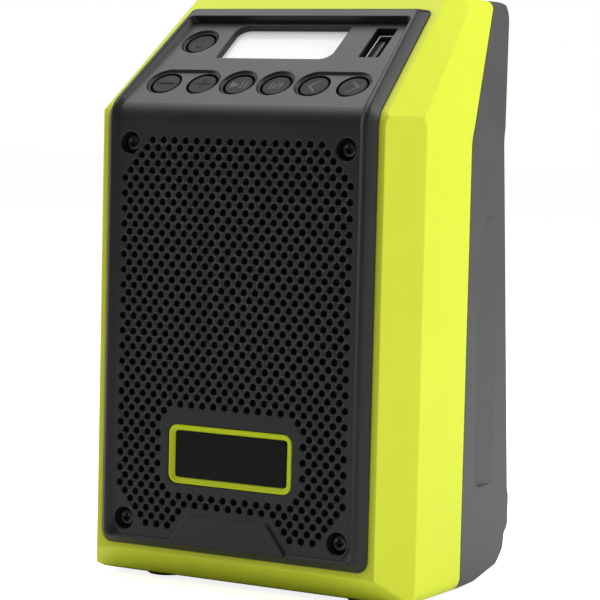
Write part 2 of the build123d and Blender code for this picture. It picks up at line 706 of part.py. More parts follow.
def speaker_cone():
    """Paper cone with a flat dust cap, carried by a surround in the basket's flange."""
    rim, paper, cap = CONE_D / 2 - 2.2, CONE_D / 2 - 2.2 - ROLL, DUST_CAP_D / 2
    front = [(0, CONE_DEPTH - 2), (cap, CONE_DEPTH - 2), (paper, 0), (rim, 0)]
    back = [(rim, FLANGE_THICK), (paper, FLANGE_THICK), (cap, CONE_DEPTH), (0, CONE_DEPTH)]
    return on_speaker(revolve(Plane.XY * make_face(Polyline(*front, *back, close=True)), Axis.Y, 360))


def speaker_magnet():
    """Ring magnet on the back of the basket."""
    return on_speaker(front_rod(0, 0, MAGNET_D, *MAGNET))


def grille_cloth():
    """Black cloth between the grille and the housing, cut back at the screws."""
    right = [(30.0, 17.5, 0), (44.0, 38.5, 0), (44.0, 127.5, 0), (30.0, 148.6, 0)]
    left = [(-x, z, radius) for x, z, radius in reversed(right)]
    cloth = extrude(outline(Plane.XZ, right + left), amount=BASE - PLATE - PANEL_THICK)
    return Pos(0, BASE, 0) * cloth


# ---- boards, screws and feet ----
def main_board():
    """Upright main board above the battery well."""
    return block((-BOARD_HALF, BOARD_HALF), (BOARD_BACK - BOARD_THICK, BOARD_BACK), BOARD_Z)


def heat_sink():
    """Finned aluminium block on the amplifier chip."""
    back = BOARD_BACK - BOARD_THICK
    sink = block((-SINK_HALF, SINK_HALF), (back - 10, back), SINK_Z)
    for index in range(-2, 3):
        x = index * FIN_PITCH
        sink -= block((x - 1.2, x + 1.2), (0, back - 2.5), BOARD_Z)
    return sink


def pan_screw(x, z, y_head, length):
    """A pan-head screw driven backwards from the front."""
    shank = front_rod(x, z, SCREW_D, y_head, y_head + length)
    return shank + front_rod(x, z, HEAD_D, y_head - SCREW_D / 2, y_head)


def grille_screws():
    """Four screws that hold the front panel."""
    places = [(side * SCREW_X, z) for side in SIDES for z in SCREW_Z]
    return [pan_screw(x, z, PLATE + CUP_DEPTH, GRILLE_SCREW) for x, z in places]


def feet():
    """Four rubber feet pressed into the underside."""
    front = [Pos(x, y, 0) * drum(FOOT_D, 0, FRONT_FOOT) for x, y in FRONT_FEET]
    rear = [Pos(x, y, 0) * drum(FOOT_D, 0, REAR_FOOT) for x, y in REAR_FEET]
    return front + rear


# ---- assembly ----
def with_foot_seats(shell):
    """Cut the seats of the feet into a housing."""
    for foot in feet():
        shell -= foot
    return shell


def pieces():
    """Every node of the radio by name."""
    outer = body()
    inner = body(WALL)
    nodes = {
        "front_housing": with_foot_seats(front_housing(outer, inner)),
        "rear_housing": with_foot_seats(rear_housing(outer, inner)),
        "battery_well": battery_well(inner),
        "terminal_block": terminal_block(),
        "contact_blades": contact_blades(),
        "front_bezel": front_bezel(),
        "front_panel": front_panel(),
        "grille_cloth": grille_cloth(),
        "badge_rim": badge_rim(),
        "badge_plate": badge_plate(),
        "keypad": keypad(),
        "control_board": control_board(),
        "display_lens": display_lens(),
        "display_module": display_module(),
        "usb_shell": usb_shell(),
        "usb_tongue": usb_tongue(),
        "speaker_basket": speaker_basket(),
        "speaker_cone": speaker_cone(),
        "speaker_magnet": speaker_magnet(),
        "main_board": main_board(),
        "heat_sink": heat_sink(),
        "grille_screws": grille_screws(),
        "feet": feet(),
    }
    for name, place in BUTTONS.items():
        nodes[name] = on_slope(PANEL_SLOPE, place, 0, button())
    return nodes


def main():
    os.makedirs("parts", exist_ok=True)
    for name, shape in pieces().items():
        solids = shape if isinstance(shape, list) else [shape]
        loose = [solid for item in solids for solid in item.solids()]
        export_step(Compound(children=loose), f"parts/{name}.step")


main()
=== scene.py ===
import json
from math import atan, cos, pi, radians, sin, tan

import bpy
from mathutils import Matrix, Vector
from mathutils.geometry import tessellate_polygon

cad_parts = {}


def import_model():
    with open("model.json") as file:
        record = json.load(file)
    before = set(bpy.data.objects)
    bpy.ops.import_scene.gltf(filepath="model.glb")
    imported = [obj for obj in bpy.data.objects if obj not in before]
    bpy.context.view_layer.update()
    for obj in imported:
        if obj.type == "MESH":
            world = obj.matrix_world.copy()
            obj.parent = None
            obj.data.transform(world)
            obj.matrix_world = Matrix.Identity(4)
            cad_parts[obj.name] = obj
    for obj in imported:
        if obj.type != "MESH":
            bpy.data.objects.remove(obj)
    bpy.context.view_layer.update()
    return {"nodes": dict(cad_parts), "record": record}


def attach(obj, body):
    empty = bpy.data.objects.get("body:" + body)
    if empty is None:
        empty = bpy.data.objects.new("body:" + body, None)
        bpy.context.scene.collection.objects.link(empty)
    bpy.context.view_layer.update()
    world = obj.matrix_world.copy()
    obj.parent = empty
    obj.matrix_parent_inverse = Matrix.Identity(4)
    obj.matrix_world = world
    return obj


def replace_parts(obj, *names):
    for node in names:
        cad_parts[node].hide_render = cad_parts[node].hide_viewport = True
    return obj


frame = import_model()
MM = 0.001

# ---- real sizes, millimetres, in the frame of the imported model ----
FRONT = -45.5                          # crest of the bezel, the foremost surface
PLATE = -44.5                          # face of the grille
BASE = -42.1                           # front wall of the lime housing
BEND = 155.1                           # height at which that wall turns back
LEAN = radians(51.4)                   # lean of the control slope, back from upright
TAPER_UP = 0.1207 * cos(LEAN)          # the panel narrows by this much per mm up the slope, each side
CREST_BEND = BEND + (BASE - FRONT) * (1 / cos(LEAN) - 1) / tan(LEAN)
BEND_RADIUS = 10.0                     # of the crest
PANEL_RADIUS = 9.4
CREASE = radians(8.0)                  # the panel's bend meets its slope at this angle
SINK_LOW = 1.3                         # depth of the slope below the crest, at its foot and its top
SINK_HIGH = 2.7
OPENING_TOP = 49.0
PANEL_HALF = 44.85
PANEL_BOTTOM = 16.25
PANEL_CORNER = 5.0
PANEL_THICK = 2.0
BEND_STEPS = 14

# perforated field: row n lies n steps below row 0 and has holes in every second column m
HOLE_COLUMN = 2.1
HOLE_ROW = 2.5
HOLE_TOP = 110.8                       # height of row 0
HOLE_R = 1.15
HOLE_LIP = 0.27
HOLE_SIDES = 16
FIRST_ROW = -14
LAST_ROW = 36
CORNER_COLUMNS = 19                    # outermost column of the last row that a corner cuts short
CORNER_ROWS = 4
BADGE_ROWS = (21, 31)                  # the badge stands in these rows and those between
BADGE_COLUMNS = 13                     # and within this column, or one less in the first and last
TABLET_ROW = 34                        # the tablet starts here, and each row down it is a column wider
TABLET_COLUMNS = 9

# profiles of recesses and edges, each a list of (growth of the outline, depth)
SEAT_PROFILE = [(0.45, 0.0), (0.2, 0.06), (0.05, 0.22), (0.0, 0.5), (-0.1, 3.0), (-2.3, 3.01)]
BADGE_POCKET = [(0.25, 0.0), (0.05, 0.08), (0.0, 0.3), (0.0, 1.3), (-8.0, 1.31)]
BADGE_PROFILE = [(0.0, 1.2), (0.0, 0.3), (-0.08, 0.14), (-0.22, 0.06), (-0.5, 0.02), (-0.72, 0.06),
                 (-2.05, 1.0)]
TABLET_PROFILE = [(0.75, 1.05), (0.45, 0.85), (0.2, 0.28), (0.05, 0.08), (-0.15, 0.02)]
CAP_PROFILE = [(0.0, 2.2), (0.0, 0.55), (-0.05, 0.33), (-0.16, 0.15), (-0.34, 0.04), (-0.55, 0.0)]
HEAD_PROFILE = [(0.0, 3.0), (0.0, 2.4), (-0.12, 2.1), (-0.5, 1.8), (-1.1, 1.62)]

BADGE_Z = 44.6
BADGE_SIZE = (46.5, 19.6)              # pocket
BADGE_FRAME = (46.1, 19.2)
TABLET_HEIGHTS = (15.2, 24.8)
TABLET_HALVES = (22.0, 14.5)           # at those heights
CLOTH_SIZE = (89.0, 133.0)
CLOTH_MIDDLE = 83.3
CLOTH_FACE = -42.35
CLOTH_THICK = 0.2
CLOTH_CORNER = 4.0
CLOTH_SEAT_R = 5.0

SCREWS = [(side * 40.2, z) for side in (-1, 1) for z in (21.5, 144.6)]
CUP_R = 3.6
HEAD_R = 2.9
RECESS_DEPTH = 2.6
ROUND_STEPS = 32

# control slope: places are (across, up the slope)
BUTTON_R = 4.9
BUTTON_SINK = 0.95
BUTTON_HOLE_R = 5.6
BUTTON_ROW = 15.2
BUTTON_PITCH = 14.0
CAP_STEPS = 48
POWER_PLACE = (-33.3, 37.8)
POCKET_R = 5.8                         # floor of a pocket; its wall slants out by the width of its slope
POCKET_SLOPE = 0.9
POCKET_DEPTH = 0.85
POCKET_STEPS = 64
SHAFT_DEPTH = 3.4
SIGN_DEPTH = 0.26
WINDOW_PLACE = (-1.1, 37.85)
WINDOW_SIZE = (42.6, 18.1)
WINDOW_LAP = 0.6                       # lens and display reach this far behind the window's edge
LCD_DEPTH = 2.3
USB_PLACE = (34.0, 38.0)
USB_SLOT = (7.2, 15.8)
SOCKET_PLACE = (34.6, 37.1)            # the socket's shell, and its tongue to the left in it
SOCKET_SIZE = (5.7, 13.1)
SOCKET_WALL = 0.35
TONGUE_PLACE = (33.1, 37.1)
TONGUE_SIZE = (1.6, 10.8)

# the camera that the photograph was taken with
CAMERA_AT = (410.98, -707.76, 156.2)
CAMERA_YAW = radians(30.2)
CAMERA_PITCH = radians(4.4)
CAMERA_ROLL = radians(1.36)
PHOTO_SIZE = 600
CAMERA_FOCAL = 2458.0                  # in pixels of the photograph


# ---------------------------------------------------------------- materials
MIX_A, MIX_B, MIX_RESULT = 6, 7, 2      # a Mix node's colour sockets, which share their names with others


class Nodes:
    """A small helper round a material's node tree."""

    def __init__(self, name):
        self.material = bpy.data.materials.new(name)
        self.material.use_nodes = True
        self.tree = self.material.node_tree
        self.shader = self.tree.nodes["Principled BSDF"]
        self.coords = self.tree.nodes.new("ShaderNodeTexCoord")

    def add(self, kind, **values):
        node = self.tree.nodes.new("ShaderNode" + kind)
        for key, value in values.items():
            if key in node.inputs:
                node.inputs[key].default_value = value
            else:
                setattr(node, key, value)
        return node

    def link(self, output, target):
        self.tree.links.new(output, target)

    def noise(self, scale, detail=3.0):
        """Noise in the frame's own coordinates; the scale is in waves per metre."""
        node = self.add("TexNoise", Scale=scale, Detail=detail, Roughness=0.55)
        self.link(self.coords.outputs["Object"], node.inputs["Vector"])
        return node.outputs["Fac"]

    def ramp(self, source, stops):
        """A colour for the source between two stops, each a place and a colour."""
        node = self.add("ValToRGB")
        for index, (place, colour) in enumerate(stops):
            element = node.color_ramp.elements[index]
            element.position = place
            element.color = (*colour, 1.0)
        self.link(source, node.inputs["Fac"])
        return node.outputs["Color"]

    def spread(self, source, low, high):
        """The source, 0 to 1, spread over a range."""
        node = self.add("MapRange")
        node.inputs["To Min"].default_value = low
        node.inputs["To Max"].default_value = high
        self.link(source, node.inputs["Value"])
        return node.outputs["Result"]

    def bump(self, source, height, strength):
        """Surface relief from a height in millimetres."""
        node = self.add("Bump", Strength=strength, Distance=height * MM)
        self.link(source, node.inputs["Height"])
        self.link(node.outputs["Normal"], self.shader.inputs["Normal"])
        return node


def shade(colour, factor):
    return tuple(min(1.0, c * factor) for c in colour)


def moulded(name, colour, rough=0.42, grain=900.0, relief=0.02, mottle=0.05, specular=0.5, soften_and_shade=0.0,
            sign=None):
    """Moulded plastic: faint mottle in its colour, uneven gloss and a fine surface grain.
    Given a width in millimetres, its edges are shaded as if rounded, and shade is painted into its corners
    and creases.
    With sign, a colour, the faces that a mesh marks as its sign take it as a painted highlight, for light on
    the walls of the sunk sign."""
    n = Nodes(name)
    broad = n.noise(45.0, 4.0)
    fine = n.noise(grain, 2.0)
    mottled = n.ramp(broad, [(0.3, shade(colour, 1 - mottle)), (0.7, shade(colour, 1 + mottle))])
    if soften_and_shade:
        # painted shade: ambient occlusion is multiplied into the colour, so it turns dark in corners and
        # creases
        corner = n.add("AmbientOcclusion", Distance=2.4 * soften_and_shade * MM, samples=6)
        depth = n.ramp(corner.outputs["AO"], [(0.45, (0.12, 0.12, 0.12)), (0.97, (1.0, 1.0, 1.0))])
        painted_corner_shade = n.add("Mix", data_type="RGBA", blend_type="MULTIPLY")
        painted_corner_shade.inputs["Factor"].default_value = 1.0
        n.link(mottled, painted_corner_shade.inputs[MIX_A])
        n.link(depth, painted_corner_shade.inputs[MIX_B])
        mottled = painted_corner_shade.outputs[MIX_RESULT]
    if sign:
        mark = n.add("Attribute", attribute_name="sign")
        highlighted = n.add("Mix", data_type="RGBA")
        n.link(mark.outputs["Fac"], highlighted.inputs["Factor"])
        n.link(mottled, highlighted.inputs[MIX_A])
        highlighted.inputs[MIX_B].default_value = (*sign, 1.0)
        mottled = highlighted.outputs[MIX_RESULT]
    n.link(mottled, n.shader.inputs["Base Color"])
    n.link(n.spread(broad, rough - 0.05, rough + 0.05), n.shader.inputs["Roughness"])
    n.shader.inputs["Specular IOR Level"].default_value = specular
    grain_bump = n.bump(fine, relief, 0.5)
    if soften_and_shade:
        edges = n.add("Bevel", Radius=soften_and_shade * MM, samples=4)
        n.link(edges.outputs["Normal"], grain_bump.inputs["Normal"])
    return n.material


def metal(name, colour, rough):
    """Metal with fine brushed streaks."""
    n = Nodes(name)
    stretch = n.add("Mapping", Scale=(1.0, 1.0, 14.0))
    n.link(n.coords.outputs["Object"], stretch.inputs["Vector"])
    lines = n.add("TexNoise", Scale=2500.0, Detail=2.0)
    n.link(stretch.outputs["Vector"], lines.inputs["Vector"])
    n.link(n.ramp(lines.outputs["Fac"], [(0.3, shade(colour, 0.9)), (0.7, shade(colour, 1.08))]),
           n.shader.inputs["Base Color"])
    n.link(n.spread(lines.outputs["Fac"], rough - 0.08, rough + 0.08), n.shader.inputs["Roughness"])
    n.shader.inputs["Metallic"].default_value = 1.0
    n.bump(lines.outputs["Fac"], 0.01, 0.4)
    return n.material


def woven(name, colour, pitch):
    """Acoustic cloth: two crossed sets of threads, the pitch in millimetres."""
    n = Nodes(name)
    waves = []
    for axis in ("X", "Z"):
        wave = n.add("TexWave", Scale=0.31 / (pitch * MM), bands_direction=axis)
        n.link(n.coords.outputs["Object"], wave.inputs["Vector"])
        waves.append(wave.outputs["Fac"])
    both = n.add("Math", operation="MULTIPLY")
    n.link(waves[0], both.inputs[0])
    n.link(waves[1], both.inputs[1])
    n.link(n.ramp(both.outputs["Value"], [(0.0, shade(colour, 0.5)), (1.0, shade(colour, 1.6))]),
           n.shader.inputs["Base Color"])
    n.shader.inputs["Roughness"].default_value = 0.95
    n.bump(both.outputs["Value"], 0.1, 0.6)
    return n.material


def clear_glass(name):
    """Clear plastic that light and shadow pass through."""
    n = Nodes(name)
    smudge = n.noise(120.0, 3.0)
    rays = n.add("LightPath")
    passing = n.add("Math", operation="MAXIMUM")
    n.link(rays.outputs["Is Shadow Ray"], passing.inputs[0])
    n.link(rays.outputs["Is Diffuse Ray"], passing.inputs[1])
    mix = n.add("MixShader")
    n.link(passing.outputs["Value"], mix.inputs["Fac"])
    n.link(n.shader.outputs["BSDF"], mix.inputs[1])
    n.link(n.add("BsdfTransparent").outputs["BSDF"], mix.inputs[2])
    n.link(mix.outputs["Shader"], n.tree.nodes["Material Output"].inputs["Surface"])
    n.link(n.spread(smudge, 0.04, 0.12), n.shader.inputs["Roughness"])
    n.shader.inputs["Base Color"].default_value = (0.96, 0.97, 0.98, 1)
    n.shader.inputs["Transmission Weight"].default_value = 1.0
    n.shader.inputs["IOR"].default_value = 1.2
    n.bump(smudge, 0.005, 0.2)
    return n.material


def painted_glow(name, colour, glow):
    """Pale display surface with a faint painted glow of its own, which lifts the shade at its border."""
    n = Nodes(name)
    cloud = n.noise(60.0, 3.0)
    n.link(n.ramp(cloud, [(0.3, shade(colour, 0.985)), (0.7, shade(colour, 1.015))]),
           n.shader.inputs["Base Color"])
    n.link(n.spread(cloud, 0.3, 0.4), n.shader.inputs["Roughness"])
    # painted light: the emission lifts the shaded band along the top and left of the display
    n.shader.inputs["Emission Color"].default_value = (0.97, 0.98, 1.0, 1)
    n.shader.inputs["Emission Strength"].default_value = glow
    return n.material


LIME = (0.77, 0.86, 0.055)
# colour of the painted highlight in the sunk signs of the caps
SIGN_HIGHLIGHT_GREY = (0.16, 0.16, 0.16)
MATERIALS = {
    "lime_plastic": moulded("lime_plastic", LIME, 0.45, 700.0, 0.015, 0.015, 0.15, 1.0),
    "grey_plastic": moulded("grey_plastic", (0.078, 0.078, 0.081), 0.52, 1400.0, 0.05, 0.06),
    "black_plastic": moulded("black_plastic", (0.010, 0.010, 0.011), 0.45, 900.0, 0.015, 0.06),
    "panel_plastic": moulded("panel_plastic", (0.010, 0.010, 0.011), 0.45, 900.0, 0.015, 0.06),
    "well_plastic": moulded("well_plastic", (0.03, 0.03, 0.032), 0.5, 1200.0, 0.03, 0.06),
    "cloth": woven("cloth", (0.012, 0.012, 0.012), 0.9),
    "badge_lime": moulded("badge_lime", (0.62, 0.74, 0.012), 0.35, 700.0, 0.01, 0.015, 0.2),
    "badge_black": moulded("badge_black", (0.006, 0.006, 0.006), 0.45, 900.0, 0.01, 0.08, 0.15),
    "rubber": moulded("rubber", (0.02, 0.02, 0.02), 0.72, 1100.0, 0.05, 0.1),
    "keycap": moulded("keycap", (0.012, 0.012, 0.013), 0.45, 1500.0, 0.01, 0.05, 0.13,
                      sign=SIGN_HIGHLIGHT_GREY),
    "circuit_board": moulded("circuit_board", (0.012, 0.10, 0.04), 0.3, 500.0, 0.03, 0.2),
    "clear_lens": clear_glass("clear_lens"),
    "display": painted_glow("display", (0.50, 0.505, 0.51), 0.32),
    "steel": metal("steel", (0.30, 0.30, 0.31), 0.36),
    "tongue": moulded("tongue", (0.09, 0.09, 0.092), 0.4, 900.0, 0.01, 0.04),
    "contacts": metal("contacts", (0.80, 0.62, 0.30), 0.25),
    "basket": moulded("basket", (0.03, 0.03, 0.03), 0.35, 900.0, 0.02, 0.06),
    "cone_paper": moulded("cone_paper", (0.02, 0.02, 0.02), 0.85, 600.0, 0.12, 0.25),
    "magnet": moulded("magnet", (0.05, 0.05, 0.05), 0.55, 1500.0, 0.04, 0.15),
    "aluminium": metal("aluminium", (0.60, 0.61, 0.62), 0.35),
    "black_screw": metal("black_screw", (0.05, 0.05, 0.05), 0.35),
}

for part in frame["record"]["subparts"]:
    cad = frame["nodes"][part["node"]]
    cad.data.materials.clear()
    cad.data.materials.append(MATERIALS[part["material_slot"]])


# ---------------------------------------------------------------- mesh tools
def new_piece(name, vertices, faces, slot, body="radio", smooth=True):
    """A mesh piece from millimetre coordinates, with its material, riding on a body."""
    mesh = bpy.data.meshes.new(name)
    mesh.from_pydata([Vector(v) * MM for v in vertices], [], faces)
    mesh.validate()
    mesh.update()
    mesh.materials.append(MATERIALS[slot])
    obj = bpy.data.objects.new(name, mesh)
    bpy.context.scene.collection.objects.link(obj)
    if smooth:
        for polygon in mesh.polygons:
            polygon.use_smooth = True
        weighted = obj.modifiers.new("weighted", "WEIGHTED_NORMAL")
        weighted.keep_sharp = True
        weighted.weight = 100
    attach(obj, body)
    return obj


def circle(radius, steps):
    """Points of a circle about the origin, anticlockwise."""
    angles = [2 * pi * i / steps for i in range(steps)]
    return [(radius * cos(angle), radius * sin(angle)) for angle in angles]


def rounded(width, height, radii, steps=6):
    """Points of a rounded rectangle about the origin, anticlockwise from the lower right corner."""
    points = []
    corners = [(1, -1), (1, 1), (-1, 1), (-1, -1)]
    for index, ((sx, sy), radius) in enumerate(zip(corners, radii)):
        cx, cy = sx * (width / 2 - radius), sy * (height / 2 - radius)
        start = -pi / 2 + index * pi / 2
        for i in range(steps + 1):
            angle = start + (pi / 2) * i / steps
            points.append((cx + radius * cos(angle), cy + radius * sin(angle)))
    return points


def round_loop(radius, steps):
    """An outline that can grow: a circle."""
    return lambda growth: circle(radius + growth, steps)


def oblong(width, height, radius, least=0.05, steps=4):
    """An outline that can grow: a rectangle with rounded corners."""
    def loop(growth):
        radii = [max(least, radius + growth)] * 4
        return rounded(width + 2 * growth, height + 2 * growth, radii, steps)
    return loop


class Sheet:
    """A developed sheet: points are (across, along, depth), and a map bends them onto the part."""

    def __init__(self, place):
        self.place = place
        self.vertices = []
        self.faces = []
        self.index = {}

    def vertex(self, u, v, depth=0.0):
        key = (round(u, 4), round(v, 4), round(depth, 4))
        if key not in self.index:
            self.index[key] = len(self.vertices)
            self.vertices.append(self.place(u, v, depth))
        return self.index[key]

    def face(self, *corners):
        ids = []
        for corner in corners:
            number = self.vertex(*corner)
            if number not in ids:
                ids.append(number)
        if len(ids) > 2:
            self.faces.append(ids)

    def rings(self, loops):
        """Join loops of equal length, each a list of (u, v, depth), outermost first."""
        for outer, inner in zip(loops, loops[1:]):
            for i in range(len(outer)):
                j = (i + 1) % len(outer)
                self.face(outer[i], outer[j], inner[j], inner[i])

    def fill(self, outline, holes=(), depth=0.0):
        """Flat area at a depth, inside an outline and outside the holes, all lists of (u, v)."""
        loops = [[Vector((u, v, 0)) for u, v in loop] for loop in (outline, *holes)]
        flat = [point for loop in loops for point in loop]
        for triangle in tessellate_polygon(loops):
            a, b, c = (flat[i] for i in triangle)
            if (b - a).cross(c - a).z < 0:
                b, c = c, b
            self.face((a.x, a.y, depth), (b.x, b.y, depth), (c.x, c.y, depth))

    def well(self, centre, loop_at, profile):
        """A recess whose edge follows a profile of (growth of the loop, depth). Returns its outer loop."""
        loops = []
        for growth, depth in profile:
            loops.append([(centre[0] + u, centre[1] + v, depth) for u, v in loop_at(growth)])
        self.rings(loops)
        return [(u, v) for u, v, depth in loops[0]]


def lip(radius, steps=3):
    """Rounded edge of a hole as (growth, depth) pairs, from the face down into the hole."""
    pairs = []
    for i in range(steps + 1):
        angle = (pi / 2) * i / steps
        pairs.append((radius * (1 - sin(angle)), radius * (1 - cos(angle))))
    return pairs


# ---------------------------------------------------------------- front panel
def crest_point(up, depth):
    return (FRONT + up * sin(LEAN) + depth * cos(LEAN), CREST_BEND + up * cos(LEAN) - depth * sin(LEAN))


def panel_line():
    """Lean and foot of the panel's sloping face."""
    y0, z0 = crest_point(0, SINK_LOW)
    y1, z1 = crest_point(OPENING_TOP, SINK_HIGH)
    return atan((y1 - y0) / (z1 - z0)), (y0, z0)


PANEL_LEAN, PANEL_FOOT = panel_line()
ARC_ANGLE = PANEL_LEAN - CREASE
ARC_UP = (PLATE + PANEL_RADIUS * (1 - cos(ARC_ANGLE)) - PANEL_FOOT[0]) / sin(PANEL_LEAN)
ARC_SLOPE = (PANEL_FOOT[0] + ARC_UP * sin(PANEL_LEAN), PANEL_FOOT[1] + ARC_UP * cos(PANEL_LEAN))
ARC_START = ARC_SLOPE[1] - PANEL_RADIUS * sin(ARC_ANGLE)
ARC_END = ARC_START + PANEL_RADIUS * ARC_ANGLE


def along(up):
    """Length along the developed panel for a place up the slope."""
    return ARC_END + up - ARC_UP


def on_panel(u, v, depth=0.0):
    """Where a point of the developed panel lies on the radio."""
    if v <= ARC_START:
        return (u, PLATE + depth, v)
    if v <= ARC_END:
        angle = (v - ARC_START) / PANEL_RADIUS
        reach = PANEL_RADIUS - depth
        return (u, PLATE + PANEL_RADIUS - cos(angle) * reach, ARC_START + sin(angle) * reach)
    up = v - ARC_END
    y = ARC_SLOPE[0] + up * sin(PANEL_LEAN) + depth * cos(PANEL_LEAN)
    z = ARC_SLOPE[1] + up * cos(PANEL_LEAN) - depth * sin(PANEL_LEAN)
    return (u, y, z)


def panel_half(v):
    """Half width of the panel at a place along it."""
    return PANEL_HALF - max(0.0, v - (ARC_START + ARC_END) / 2) * TAPER_UP


def row_is_open(m, n):
    """True where the lattice has a hole at column m of row n."""
    if n < FIRST_ROW or n > LAST_ROW or (m + n) % 2 == 0:
        return False
    reach = abs(m)
    rows_in = min(n - FIRST_ROW, LAST_ROW - n)
    limit = CORNER_COLUMNS - CORNER_ROWS + rows_in if rows_in <= CORNER_ROWS else CORNER_COLUMNS + 1
    if reach > limit:
        return False
    if n in BADGE_ROWS:
        return reach >= BADGE_COLUMNS - 1
    if BADGE_ROWS[0] < n < BADGE_ROWS[1]:
        return reach >= BADGE_COLUMNS
    if n >= TABLET_ROW:
        return reach >= TABLET_COLUMNS + n - TABLET_ROW
    return True


def cell(m, n):
    """Centre of a hole and the diamond of the plate round it."""
    cx, cz = m * HOLE_COLUMN, HOLE_TOP - n * HOLE_ROW
    corners = []
    for u, v in circle(1.0, HOLE_SIDES):
        scale = 1.0 / (abs(u) / HOLE_COLUMN + abs(v) / HOLE_ROW)
        corners.append((cx + u * scale, cz + v * scale))
    return (cx, cz), corners


def front_panel():
    """Grille, bend and control slope as one sheet, with every hole, well and window in it."""
    sheet = Sheet(on_panel)
    columns = range(-CORNER_COLUMNS - 1, CORNER_COLUMNS + 2)
    cells = [(m, n) for n in range(FIRST_ROW, LAST_ROW + 1) for m in columns if row_is_open(m, n)]
    for m, n in cells:
        hole(sheet, m, n)
    holes = field_borders(cells)
    for screw in SCREWS:
        holes.append(sheet.well(screw, round_loop(CUP_R, ROUND_STEPS), SEAT_PROFILE))
    badge = oblong(*BADGE_SIZE, 3.2, least=0.4, steps=6)
    holes.append(sheet.well((0, BADGE_Z), badge, BADGE_POCKET))
    half_height = 4 * PANEL_CORNER
    corners = rounded(2 * PANEL_HALF, 2 * half_height, [PANEL_CORNER] * 4, 8)
    bottom = [(u, v + PANEL_BOTTOM + half_height) for u, v in corners if v < 0]
    edge = [point for point in bottom if point[0] < 0] + [point for point in bottom if point[0] > 0]
    sheet.fill([(PANEL_HALF, ARC_START), (-PANEL_HALF, ARC_START)] + edge, holes)
    for here, following in zip(edge, edge[1:]):
        sheet.face((*here, 0.0), (*here, PANEL_THICK), (*following, PANEL_THICK), (*following, 0.0))
    bend(sheet)
    control_slope(sheet)
    return new_piece("front_panel_detail", sheet.vertices, sheet.faces, "panel_plastic")


def hole(sheet, m, n):
    """One hole with its diamond of the plate round it."""
    (cx, cz), corners = cell(m, n)
    loops = [[(u, v, 0.0) for u, v in corners]]
    for growth, depth in lip(HOLE_LIP, 2) + [(0.0, PANEL_THICK)]:
        loops.append([(cx + u, cz + v, depth) for u, v in circle(HOLE_R + growth, HOLE_SIDES)])
    sheet.rings(loops)


def field_borders(cells):
    """Closed loops round the perforated field, for the plain plate to meet."""
    edges = {}
    for m, n in cells:
        corners = [(round(u, 4), round(v, 4)) for u, v in cell(m, n)[1]]
        for a, b in zip(corners, corners[1:] + corners[:1]):
            if (b, a) in edges:
                del edges[(b, a)]
            else:
                edges[(a, b)] = True
    following = {}
    for a, b in edges:
        following.setdefault(a, []).append(b)
    loops = []
    while following:
        start = next(iter(following))
        loop = [start]
        current = start
        while True:
            options = following[current]
            nxt = options.pop() if len(options) == 1 else pick_turn(loop, options)
            if not options:
                del following[current]
            if nxt == start:
                break
            loop.append(nxt)
            current = nxt
        loops.append(loop)
    return loops


def pick_turn(loop, options):
    """Where two cells meet at a point only, keep to the tighter turn, so that loops don't cross."""
    here = Vector(loop[-1])
    back = Vector(loop[-2]) - here if len(loop) > 1 else Vector((1, 0))
    best = max(options, key=lambda o: back.angle_signed(Vector(o) - here) % (2 * pi))
    options.remove(best)
    return best


def bend(sheet):
    """The curved strip between the grille and the control slope."""
    rows = [ARC_START + (ARC_END - ARC_START) * i / BEND_STEPS for i in range(BEND_STEPS + 1)]
    for low, high in zip(rows, rows[1:]):
        a, b = panel_half(low), panel_half(high)
        sheet.face((a, low), (b, high), (-b, high), (-a, low))
        for side in (1, -1):
            inner = [(side * a, low, PANEL_THICK), (side * b, high, PANEL_THICK)]
            strip = [(side * a, low), *inner, (side * b, high)]
            sheet.face(*(strip if side > 0 else reversed(strip)))


def pocket_loop(span):
    """Outline of a button pocket, or of one shared by two buttons a span apart."""
    def loop(growth):
        points = []
        for i in range(POCKET_STEPS):
            angle = 2 * pi * (i + 0.5) / POCKET_STEPS
            shift = span / 2 if cos(angle) > 0 else -span / 2
            points.append((shift + (POCKET_R + growth) * cos(angle), (POCKET_R + growth) * sin(angle)))
        return points
    return loop


def control_slope(sheet):
    """Wells, window and socket slot, cut into the slope."""
    top = along(OPENING_TOP + 0.3)
    a, b = panel_half(ARC_END), panel_half(top)
    outline = [(a, ARC_END), (b, top), (-b, top), (-a, ARC_END)]
    holes = []
    wall = ((1.0, 0.0), (0.86, 0.04), (0.72, 0.16), (0.12, 0.9), (0.0, 1.0))
    pocket = [(POCKET_SLOPE * out, POCKET_DEPTH * deep) for out, deep in wall]
    shaft = [(0.0, POCKET_DEPTH), (-0.08, POCKET_DEPTH + 0.08), (-0.08, SHAFT_DEPTH)]
    pockets = [(POWER_PLACE, 0.0)]
    pockets += [((middle * BUTTON_PITCH, BUTTON_ROW), 0.0) for middle in (-0.5, 0.5)]
    pockets += [((middle * BUTTON_PITCH, BUTTON_ROW), BUTTON_PITCH) for middle in (-2.0, 2.0)]
    for (x, up), span in pockets:
        spot = (x, along(up))
        holes.append(sheet.well(spot, pocket_loop(span), pocket))
        openings = []
        for shift in sorted({-span / 2, span / 2}):
            centre = (spot[0] + shift, spot[1])
            openings.append(sheet.well(centre, round_loop(BUTTON_HOLE_R, CAP_STEPS), shaft))
        floor = [(spot[0] + u, spot[1] + v) for u, v in pocket_loop(span)(0.0)]
        sheet.fill(floor, openings, POCKET_DEPTH)
    holes.append(sheet.well((WINDOW_PLACE[0], along(WINDOW_PLACE[1])), window_loop,
                            lip(0.45, 4) + [(0.0, LCD_DEPTH + 0.3)]))
    holes.append(sheet.well((USB_PLACE[0], along(USB_PLACE[1])), oblong(*USB_SLOT, 0.6, steps=6),
                            lip(0.35, 3) + [(0.0, 3.0)]))
    sheet.fill(outline, holes)


def window_loop(growth):
    """Outline of the display window: two corners are wide and two are tight."""
    width, height = WINDOW_SIZE
    radii = [max(0.3, radius + growth) for radius in (4.0, 1.0, 4.0, 0.8)]
    return rounded(width + 2 * growth, height + 2 * growth, radii)


